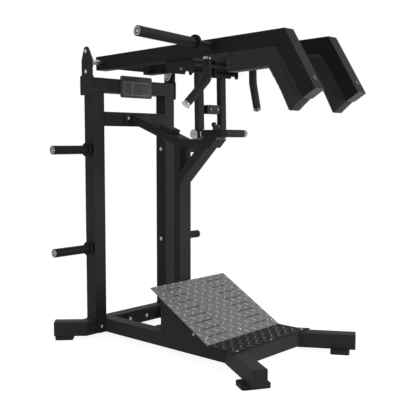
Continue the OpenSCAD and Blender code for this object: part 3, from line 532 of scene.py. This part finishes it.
def pad_outline():
    """Outline of a cushion in the plane of the lever, a little smaller than the finished pad."""
    low, face = PAD_BACK + PAD_BACK_GAP, PAD_FACE - PAD_START
    top, foot = -PAD_ARM + PAD_START, PAD_LEG - PAD_START
    bend = face * math.tan(LEG_BEND / 2)
    return [on_pad(top, low), on_pad(-PAD_CORNER_BACK, low), on_pad(PAD_CORNER_CUT, low),
            on_pad(foot, low), on_pad(foot + PAD_LEAN, face), on_pad(bend, face),
            on_pad(top, face)]


def swell(pad):
    """Cloth under pressure, whose points move no further than PAD_SWELL."""
    rest = np.array([tuple(v.co) for v in pad.data.vertices])
    cloth = pad.modifiers.new("cloth", "CLOTH")
    cloth.settings.use_pressure = True
    cloth.settings.uniform_pressure_force = PAD_PRESSURE
    cloth.settings.effector_weights.gravity = 0
    cloth.settings.tension_stiffness = 60
    cloth.settings.compression_stiffness = 60
    cloth.settings.bending_stiffness = 8
    cloth.settings.quality = 5
    cloth.point_cache.frame_start, cloth.point_cache.frame_end = 1, PAD_STEPS
    scene = bpy.context.scene
    for step in range(1, PAD_STEPS + 1):
        scene.frame_set(step)
    live = pad.evaluated_get(bpy.context.evaluated_depsgraph_get())
    grown = np.array([tuple(v.co) for v in live.data.vertices])
    pad.modifiers.remove(cloth)
    scene.frame_set(1)
    move = grown - rest
    reach = np.linalg.norm(move, axis=1, keepdims=True)
    move *= np.minimum(1, PAD_SWELL / np.maximum(reach, 1e-9))
    return rest + move


def press_flat(points):
    """Keeps a cushion's back off the board and its corner off the tubes."""
    planes = pad_planes()
    for k, (_, y, z) in enumerate(points):
        for run, out, foot in planes:
            depth = (y - foot[0]) * out[0] + (z - foot[1]) * out[1]
            along = (y - foot[0]) * run[0] + (z - foot[1]) * run[1]
            if depth < 0 and along > -0.004:
                points[k][1] -= depth * out[0]
                points[k][2] -= depth * out[1]
    return points


def pad_planes():
    """The board's face along the arm and along the leg: direction, outward normal, a point."""
    planes = []
    for near, far, first in PAD_PLANE_ENDS:
        a, b, c = (mm(0, *on_pad(near, PAD_BACK)), mm(0, *on_pad(far, PAD_BACK)),
                   mm(0, *on_pad(near, PAD_FACE)))
        run, out = (b - a).normalized(), (c - a).normalized()
        start = mm(0, *on_pad(first, PAD_BACK))
        planes.append(((run.y, run.z), (out.y, out.z), (start.y, start.z)))
    return planes


def make_pads(finish):
    """Both cushions: the left one is swollen as cloth and smoothed, the right one is its mirror."""
    shape = bmesh.new()
    half = (PAD_HALF - PAD_START) / 1000
    outline = [mm(0, y, z) for y, z in pad_outline()]
    sides = [[shape.verts.new((-LEVER_X / 1000 + x, p.y, p.z)) for p in outline]
             for x in (-half, half)]
    shape.faces.new(sides[0])
    shape.faces.new(sides[1][::-1])
    n = len(outline)
    for k in range(n):
        shape.faces.new((sides[0][k], sides[1][k], sides[1][(k + 1) % n], sides[0][(k + 1) % n]))
    bmesh.ops.bevel(shape, geom=list(shape.edges), offset=PAD_EDGE / 1000, segments=3,
                    profile=0.5, affect="EDGES")
    pad = new_piece("cushion_form", shape, finish)
    remesh = pad.modifiers.new("remesh", "REMESH")
    remesh.mode = "VOXEL"
    remesh.voxel_size = PAD_VOXEL
    live = pad.evaluated_get(bpy.context.evaluated_depsgraph_get())
    fine = bpy.data.meshes.new_from_object(live)
    pad.modifiers.remove(remesh)
    pad.data = fine
    places = press_flat(swell(pad))
    fine.vertices.foreach_set("co", places.ravel())
    smooth = pad.modifiers.new("smooth", "SUBSURF")
    smooth.levels = smooth.render_levels = 1
    left = bpy.data.meshes.new_from_object(
        pad.evaluated_get(bpy.context.evaluated_depsgraph_get()))
    pad.modifiers.remove(smooth)
    for side, name in ((1, "left"), (-1, "right")):
        both = bmesh.new()
        both.from_mesh(left)
        for v in both.verts:
            v.co.x *= side
        for f in both.faces:
            f.smooth = True
        made = new_piece("cushion_" + name, both, finish, "lever")
        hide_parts("pad_" + name)
    bpy.data.objects.remove(pad)


# Geometry Nodes for raised bars and weld ripples

def scatter_tree():
    """Puts a small shape at every point, turned by its turn attribute and slightly varied."""
    tree = bpy.data.node_groups.new("scatter", "GeometryNodeTree")
    for label, kind in (("Geometry", "Geometry"), ("Shape", "Object"), ("Finish", "Material"),
                        ("Least Size", "Float")):
        tree.interface.new_socket(label, in_out="INPUT", socket_type="NodeSocket" + kind)
    tree.interface.new_socket("Geometry", in_out="OUTPUT", socket_type="NodeSocketGeometry")
    start, end = tree.nodes.new("NodeGroupInput"), tree.nodes.new("NodeGroupOutput")
    shape = tree.nodes.new("GeometryNodeObjectInfo")
    turn = tree.nodes.new("GeometryNodeInputNamedAttribute")
    turn.data_type = "FLOAT_VECTOR"
    turn.inputs["Name"].default_value = "turn"
    spin = tree.nodes.new("FunctionNodeEulerToRotation")
    size = tree.nodes.new("FunctionNodeRandomValue")
    size.inputs[3].default_value = 1.0
    size.inputs["Seed"].default_value = 7
    put = tree.nodes.new("GeometryNodeInstanceOnPoints")
    real = tree.nodes.new("GeometryNodeRealizeInstances")
    paint = tree.nodes.new("GeometryNodeSetMaterial")
    for a, b in ((start.outputs["Geometry"], put.inputs["Points"]),
                 (start.outputs["Shape"], shape.inputs["Object"]),
                 (start.outputs["Least Size"], size.inputs[2]),
                 (shape.outputs["Geometry"], put.inputs["Instance"]),
                 (turn.outputs["Attribute"], spin.inputs[0]),
                 (spin.outputs[0], put.inputs["Rotation"]),
                 (size.outputs[1], put.inputs["Scale"]),
                 (put.outputs[0], real.inputs[0]),
                 (real.outputs[0], paint.inputs["Geometry"]),
                 (start.outputs["Finish"], paint.inputs["Material"]),
                 (paint.outputs[0], end.inputs[0])):
        tree.links.new(a, b)
    return tree


def scatter(name, places, shape, tree, finish, body, least=0.94):
    """places are (point, matrix) pairs. The result is one plain mesh that rides on body."""
    mesh = bpy.data.meshes.new(name)
    mesh.from_pydata([tuple(p) for p, _ in places], [], [])
    turns = mesh.attributes.new("turn", "FLOAT_VECTOR", "POINT")
    turns.data.foreach_set("vector", [a for _, m in places for a in m.to_euler()])
    made = bpy.data.objects.new(name, mesh)
    bpy.context.scene.collection.objects.link(made)
    spread = made.modifiers.new("scatter", "NODES")
    spread.node_group = tree
    keys = {item.name: item.identifier for item in tree.interface.items_tree
            if item.in_out == "INPUT"}
    spread[keys["Shape"]] = shape
    spread[keys["Finish"]] = finish
    spread[keys["Least Size"]] = least
    live = made.evaluated_get(bpy.context.evaluated_depsgraph_get())
    made.data = bpy.data.meshes.new_from_object(live)
    made.modifiers.remove(spread)
    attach(made, body)
    return made


def lens_shape(name, length, width, height, sides=14):
    """A low lens-shaped bar on the origin, along X, closed below the surface."""
    shape = bmesh.new()
    rings = []
    for size, up in ((1.0, -0.0004), (0.97, height * 0.35), (0.74, height * 0.8), (0.4, height)):
        ring = []
        for k in range(sides):
            c, s = math.cos(math.tau * k / sides), math.sin(math.tau * k / sides)
            ring.append(shape.verts.new((length / 2 * size * c,
                                         width / 2 * size * s * (1 - 0.35 * c * c), up)))
        rings.append(ring)
    for a, b in zip(rings, rings[1:]):
        for k in range(sides):
            shape.faces.new((a[k], a[(k + 1) % sides], b[(k + 1) % sides], b[k]))
    shape.faces.new(rings[0][::-1])
    shape.faces.new(rings[-1])
    for f in shape.faces:
        f.smooth = True
    mesh = bpy.data.meshes.new(name)
    shape.to_mesh(mesh)
    shape.free()
    return bpy.data.objects.new(name, mesh)


# Raised bars of the tread plates, in mm and degrees. The two crossed rows give X, the distance
# down the slope from its top edge, and the turn of their first bar. A bar's middle keeps the
# margins from the edges, and the reaches are how many bars are tried to the side and downwards
BAR_LEN, BAR_W, BAR_H = 40, 12.5, 2.7
BAR_PITCH_X, BAR_PITCH_S = 66, 62
BAR_ROWS = ((-5, 5.5, 140), (27.5, 36.5, 49))
BAR_MARGIN_TOP, BAR_MARGIN = 3, 7
BAR_REACH_X, BAR_REACH_S = 7, 14

# The inclined plate's thickness and slope, and its two columns of slots in mm: place and half
# length of a slot, the way from an end of the plate to its nearest slot, slots in a column, what
# that way has more at the foot, and half the width of the cut that a slot makes in the bars
TREAD_T = 5
TREAD_SLOPE = math.radians(30)
SLOT_X, SLOT_HALF, SLOT_EDGE, SLOTS = 181, 72, 43, 8
SLOT_FOOT_SPARE = 11
SLOT_CUT = 3.4

# Ribbed dark sheet under the slots, painted shade that makes the slots look dark, in mm: reach past a
# slot's end, the upper and lower edge of a groove's wall beside a slot's middle, length past the last
# groove, distance under the plate's face, depth of the grooves, and thickness
SHADE_SHEET_PAST, SHADE_SHEET_RIB, SHADE_SHEET_GROOVE, SHADE_SHEET_END = 8, 9, 7, 12
SHADE_SHEET_DOWN, SHADE_SHEET_DEEP, SHADE_SHEET_T = 6.4, 3, 4


def tread_bars(half_width, first, last, place):
    """Places of the bars between two distances down the slope, each with its turn."""
    out = []
    for x0, s0, angle in BAR_ROWS:
        turn = Matrix.Rotation(-math.radians(angle), 3, "Z")
        for i in range(-2, BAR_REACH_S):
            for j in range(1 - BAR_REACH_X, BAR_REACH_X):
                x, s = x0 + BAR_PITCH_X * j, s0 + BAR_PITCH_S * i
                on_plate = first + BAR_MARGIN_TOP < s < last - BAR_MARGIN
                if on_plate and abs(x) < half_width - BAR_MARGIN:
                    point, lie = place(x, s)
                    out.append((point, lie @ turn))
    return out


def make_tread(materials, tree):
    bar = lens_shape("tread_bar", BAR_LEN / 1000, BAR_W / 1000, BAR_H / 1000)
    low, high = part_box("foot_plate")
    top = Vector((0, high.y - TREAD_T / 1000 * math.sin(TREAD_SLOPE), high.z))
    down = Vector((0, -math.cos(TREAD_SLOPE), -math.sin(TREAD_SLOPE)))
    tilt = Matrix.Rotation(TREAD_SLOPE, 3, "X")
    run = (top.y - low.y) * 1000 / math.cos(TREAD_SLOPE)
    pitch = (run - 2 * SLOT_EDGE - SLOT_FOOT_SPARE) / (SLOTS - 1)

    def on_slope(x, s):
        return top + Vector((x / 1000, 0, 0)) + down * (s / 1000), tilt

    half = high.x * 1000
    sides = [(Vector((side * high.x, 0, 0)), Vector((side, 0, 0))) for side in (1, -1)]
    bars = scatter("incline_bars", tread_bars(half, 0, run, on_slope), bar, tree,
                   materials["incline_bar_painted_glint"], "root")
    trim_edges(bars, sides + [(top, -down), (top + down * (run / 1000), down)])
    cut_slots(bars, top, down, pitch)
    step_low, step_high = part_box("step_plate")

    def on_step(x, s):
        return Vector((x / 1000, step_high.y - (s - run) / 1000, step_high.z)), Matrix.Identity(3)

    depth = (step_high.y - step_low.y) * 1000
    bars = scatter("step_bars", tread_bars(half, run, run + depth, on_step), bar, tree,
                   materials["step_bar_painted_glint"], "root")
    trim_edges(bars, sides + [(Vector((0, step_low.y, 0)), Vector((0, -1, 0)))])
    # A dark sheet under the slots as painted shade
    make_slot_shade_sheet(materials["rubber"], top, down, tilt, pitch)


def split(shape, point, normal, clear=False):
    """Cuts a bmesh along a plane and may take away what is past it."""
    return bmesh.ops.bisect_plane(
        shape, geom=shape.verts[:] + shape.edges[:] + shape.faces[:], dist=1e-6,
        plane_co=point, plane_no=normal, clear_outer=clear)


def trim_edges(bars, planes):
    """Cuts the raised bars off at the plate's edges and closes the cuts."""
    shape = bmesh.new()
    shape.from_mesh(bars.data)
    for point, outward in planes:
        cut = split(shape, point, outward, clear=True)
        rim = [e for e in cut["geom_cut"] if isinstance(e, bmesh.types.BMEdge)]
        bmesh.ops.holes_fill(shape, edges=rim, sides=0)
    shape.to_mesh(bars.data)
    shape.free()


def cut_slots(bars, top, down, pitch):
    """Takes the slots out of the raised bars."""
    shape = bmesh.new()
    shape.from_mesh(bars.data)
    rows = [SLOT_EDGE + k * pitch for k in range(SLOTS)]
    cuts = [(top + down * ((row + edge) / 1000), down)
            for row in rows for edge in (-SLOT_CUT, SLOT_CUT)]
    cuts += [(Vector((side * (SLOT_X + end * SLOT_HALF) / 1000, 0, 0)), Vector((1, 0, 0)))
             for side in (-1, 1) for end in (-1, 1)]
    for point, normal in cuts:
        split(shape, point, normal)

    def in_slot(place):
        s = (place - top).dot(down) * 1000
        return (abs(abs(place.x) * 1000 - SLOT_X) < SLOT_HALF
                and any(abs(s - row) < SLOT_CUT for row in rows))

    gone = [f for f in shape.faces if in_slot(f.calc_center_median())]
    bmesh.ops.delete(shape, geom=gone, context="FACES")
    bmesh.ops.holes_fill(shape, edges=[e for e in shape.edges if e.is_boundary], sides=0)
    shape.to_mesh(bars.data)
    shape.free()


def make_slot_shade_sheet(finish, top, down, tilt, pitch):
    """Dark ribbed strips under the two columns of slots: painted shade, standing where there is only
    shadow under the plate.
    """
    shape = bmesh.new()
    normal = tilt @ Vector((0, 0, 1))
    reach = (SLOT_HALF + SHADE_SHEET_PAST) / 1000
    steps = ((-SHADE_SHEET_RIB, 0), (-SHADE_SHEET_GROOVE, SHADE_SHEET_DEEP), (SHADE_SHEET_GROOVE, SHADE_SHEET_DEEP),
             (SHADE_SHEET_RIB, 0))
    marks = [(SLOT_EDGE + k * pitch + along, deep) for k in range(SLOTS) for along, deep in steps]
    marks = [(marks[0][0] - SHADE_SHEET_END, 0), *marks, (marks[-1][0] + SHADE_SHEET_END, 0)]
    for side in (-1, 1):
        middle = side * SLOT_X / 1000
        upper = [[shape.verts.new(top + down * (s / 1000) + Vector((middle + x, 0, 0))
                                  - normal * ((SHADE_SHEET_DOWN + deep) / 1000))
                  for x in (-reach, reach)] for s, deep in marks]
        lower = [[shape.verts.new(v.co - normal * (SHADE_SHEET_T / 1000)) for v in pair]
                 for pair in upper]
        for (a, b), (c, d) in zip(zip(upper, lower), zip(upper[1:], lower[1:])):
            shape.faces.new((a[0], a[1], c[1], c[0]))
            shape.faces.new((b[0], d[0], d[1], b[1]))
            shape.faces.new((a[0], c[0], d[0], b[0]))
            shape.faces.new((a[1], b[1], d[1], c[1]))
        for a, b in ((upper[0], lower[0]), (upper[-1], lower[-1])):
            shape.faces.new((a[0], b[0], b[1], a[1]))
    new_piece("slot_liner", shape, finish, "root")


# Small fittings, in mm

# Places of bolts: Y and Z on a latch plate and under the support arm, X and Z on the catch lug
LATCH_BOLT = (-576, 1559)
ARM_BOLT = (-430, 1131.8)
LATCH_FACE = 4.2
LUG_BOLTS = ((14, 1262), (46, 1252))
LUG_FACE = -634.2

# Opposite corners of the catch lug's plate and arm, and the middle of its knob's front
LUG_PLATE = ((24, -634, 1233), (56, -614, 1262))
LUG_ARM = ((8, -630, 1233), (26, -618, 1256))
LUG_KNOB_AT = (14, -634, 1262)
# Profiles of the turned pieces, as distances along the axis and radii
LUG_KNOB = ((0, 0), (0, 12.5), (1, 13.5), (17, 13.5), (18, 12.5), (18, 0))
HORN_RIM = ((0, 0), (0, 25.2), (8.0, 25.2), (8.6, 24.6), (8.6, 0))
HORN_FACE = ((0, 0), (0, 20.5), (0.6, 20.5), (1.0, 19.9), (1.0, 0))
HORN_RING = ((0, 0), (0, 14.0), (0.3, 14.0), (0.3, 0))
HORN_DOME = ((0, 0), (0, 9.0), (0.8, 8.4), (1.4, 6.4), (1.8, 3.0), (1.8, 0))
HORN_FACE_AT, HORN_RING_AT, HORN_DOME_AT = 8.5, 9.4, 9.6
HORN_SIDES = 40
HANDLE_CAP = ((0, 0), (0, 21.0), (0.6, 21.3), (20.0, 21.3), (22.2, 20.5), (23.4, 18.0),
              (23.8, 12.0), (23.8, 0))
HANDLE_END = (105, -755, 1212)
NIPPLE = ((0, 0), (0, 5), (4, 5), (5, 3), (9, 3), (11, 1.5), (11, 0))

# Bearing screws: distance from the pivot's middle, way in from the upright's outer face, step
# from one to the next along the shaft, and their angles in degrees
NIPPLE_OUT, NIPPLE_IN, NIPPLE_STEP = 20, 24, 4
NIPPLE_ANGLES = (20, 140, 250)

# Placard: X of the frames' ends, Z of their lower and upper edges, width of a frame's bar, and the
# Y of the faces that the frames stand on and reach
PLACARD_FRAMES = ((-104, -37), (-35, 105))
PLACARD_LOW, PLACARD_HIGH, PLACARD_BAR = 1446, 1524, 3
PLACARD_BACK, PLACARD_FRONT = -7.9, -8.9

# Opposite corners of the plain strip over the frames and of the raised bar on it
PLACARD_STRIP = (((-112, -9.0, 1532), (20, -7.9, 1552)), ((-104, -9.6, 1537), (-40, -8.6, 1547)))


def fitting_bolt(shape, place, axis, head, washer):
    """A low cap bolt with a sunk socket on a thin washer, given by their diameters."""
    turned(shape, place, axis, [
        (0, 0), (0, washer / 2), (1.6, washer / 2), (2, washer / 2 - 0.5), (2, head / 2),
        (7.5, head / 2), (8.5, head / 2 - 0.8), (8.8, head / 3.4), (6.2, head / 3.6), (6.2, 0)])


def make_latch_bolts(materials):
    """Bolts of the latch plates, on both sides of each plate."""
    shape = bmesh.new()
    for side in (-1, 1):
        for out in (-1, 1):
            place = mm(side * LEVER_X + out * LATCH_FACE, *LATCH_BOLT)
            fitting_bolt(shape, place, (out, 0, 0), 11, 15)
    new_piece("latch_bolts", shape, materials["chrome"], "lever")


def make_catch_lug(materials):
    """Small clamp by the right catch bar, with its knob and two bolts."""
    shape = bmesh.new()
    rounded_box(shape, mm(*LUG_PLATE[0]), mm(*LUG_PLATE[1]), 4)
    turned(shape, mm(*LUG_KNOB_AT), (0, 1, 0), LUG_KNOB)
    rounded_box(shape, mm(*LUG_ARM[0]), mm(*LUG_ARM[1]), 3)
    new_piece("catch_lug", shape, materials["plate_paint"], "root")
    shape = bmesh.new()
    for x, z in LUG_BOLTS:
        fitting_bolt(shape, mm(x, LUG_FACE, z), (0, -1, 0), 6, 9)
    new_piece("catch_lug_bolts", shape, materials["chrome"], "root")


def make_arm_bolt(materials):
    """Bolt head in the corner of column and support arm."""
    shape = bmesh.new()
    fitting_bolt(shape, mm(0, *ARM_BOLT), (0, 0, -1), 19, 26)
    new_piece("arm_bolt", shape, materials["block_plastic"], "root")


def make_horn_ends(materials):
    """Black rims round the horns' end caps, with a stepped chrome face and a dome."""
    for body, word in (("root", "storage"), ("lever", "lever_horn")):
        rims, faces = bmesh.new(), bmesh.new()
        for row in frame["record"]["mounts"]:
            if not row["name"].startswith(word):
                continue
            axis = Vector(row["axis"])
            end = Vector(row["pos_m"]) + axis * (row["dims"]["length_mm"] / 2000)
            turned(rims, end, axis, HORN_RIM, HORN_SIDES)
            turned(faces, end + axis * HORN_FACE_AT / 1000, axis, HORN_FACE, HORN_SIDES)
            turned(rims, end + axis * HORN_RING_AT / 1000, axis, HORN_RING, HORN_SIDES)
            turned(faces, end + axis * HORN_DOME_AT / 1000, axis, HORN_DOME)
        new_piece("horn_rims_" + body, rims, materials["horn_paint"], body)
        new_piece("horn_faces_" + body, faces, materials["chrome"], body)


def make_handle_cap(materials):
    """Chrome end cap over the catch handle's free end."""
    shape = bmesh.new()
    turned(shape, mm(*HANDLE_END), (1, 0, 0), HANDLE_CAP, HORN_SIDES)
    new_piece("handle_cap", shape, materials["chrome"], "catch")


def make_placard_frames(materials):
    """Raised frames round the placard's bare panels and a plain strip over them."""
    shape = bmesh.new()
    low, high, bar = PLACARD_LOW, PLACARD_HIGH, PLACARD_BAR
    for left, right in PLACARD_FRAMES:
        for x0, x1, z0, z1 in ((left, right, low, low + bar), (left, right, high - bar, high),
                               (left, left + bar, low + bar, high - bar),
                               (right - bar, right, low + bar, high - bar)):
            rounded_box(shape, mm(x0, PLACARD_FRONT, z0), mm(x1, PLACARD_BACK, z1), 0.3)
    new_piece("placard_frames", shape, materials["placard_trim"], "root")
    shape = bmesh.new()
    for corner, far_corner in PLACARD_STRIP:
        rounded_box(shape, mm(*corner), mm(*far_corner), 0.4)
    new_piece("placard_strip", shape, materials["block_plastic"], "root")


def make_bearing_screws(materials):
    """Grease nipples and set screws on the two pivot bearings."""
    shape = bmesh.new()
    outer_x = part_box("upright_right")[1].x
    for side in (-1, 1):
        boss = Vector((side * (outer_x - NIPPLE_IN / 1000), mm(0, *PIVOT).y, mm(0, *PIVOT).z))
        for k, angle in enumerate(NIPPLE_ANGLES):
            out = Vector((0, math.cos(math.radians(angle)), math.sin(math.radians(angle))))
            place = boss + out * NIPPLE_OUT / 1000 - Vector((side * k * NIPPLE_STEP / 1000, 0, 0))
            turned(shape, place, out, NIPPLE, 12)
    new_piece("bearing_screws", shape, materials["bright_steel"], "root")


# Weld beads: length, width and height of a ripple, and the way from one to the next, in mm
RIPPLE_LEN, RIPPLE_W, RIPPLE_H = 6.5, 9.5, 2.6
RIPPLE_STEP = 3.5


def weld_path(start, end):
    count = max(2, int((end - start).length / (RIPPLE_STEP / 1000)))
    return [start.lerp(end, k / count) for k in range(count + 1)]


def make_welds(materials, tree):
    """Rippled weld beads round the feet of the uprights and the column."""
    bead = lens_shape("weld_bead", RIPPLE_LEN / 1000, RIPPLE_W / 1000, RIPPLE_H / 1000, 10)
    low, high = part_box("upright_left")
    base, front, back = low.z, low.y, high.y
    seams = []
    for side in (-1, 1):
        inner, outer = side * high.x, side * low.x
        seams += [((inner, front), (outer, front)), ((inner, front), (inner, back)),
                  ((outer, front), (outer, back))]
    low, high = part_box("column")
    half, front, back = high.x, low.y, high.y
    seams += [((-half, front), (half, front)), ((-half, front), (-half, back)),
              ((half, front), (half, back))]
    rise = Vector((0, 0, 1))
    places = []
    for a, b in seams:
        start, end = Vector((*a, base)), Vector((*b, base))
        along = (end - start).normalized()
        turn = Matrix((along, rise.cross(along), rise)).transposed()
        places += [(point, turn) for point in weld_path(start, end)]
    scatter("welds", places, bead, tree, materials["frame_paint"], "root", 0.85)


bpy.context.scene.view_settings.view_transform = "Standard"
make_camera()
make_world()
make_floor()
make_lights()
materials = make_materials()
dress_nodes(materials)
scatter_nodes = scatter_tree()
make_pads(materials["vinyl"])
make_tread(materials, scatter_nodes)
make_latch_bolts(materials)
make_catch_lug(materials)
make_arm_bolt(materials)
make_handle_cap(materials)
make_horn_ends(materials)
make_placard_frames(materials)
make_bearing_screws(materials)
make_welds(materials, scatter_nodes)
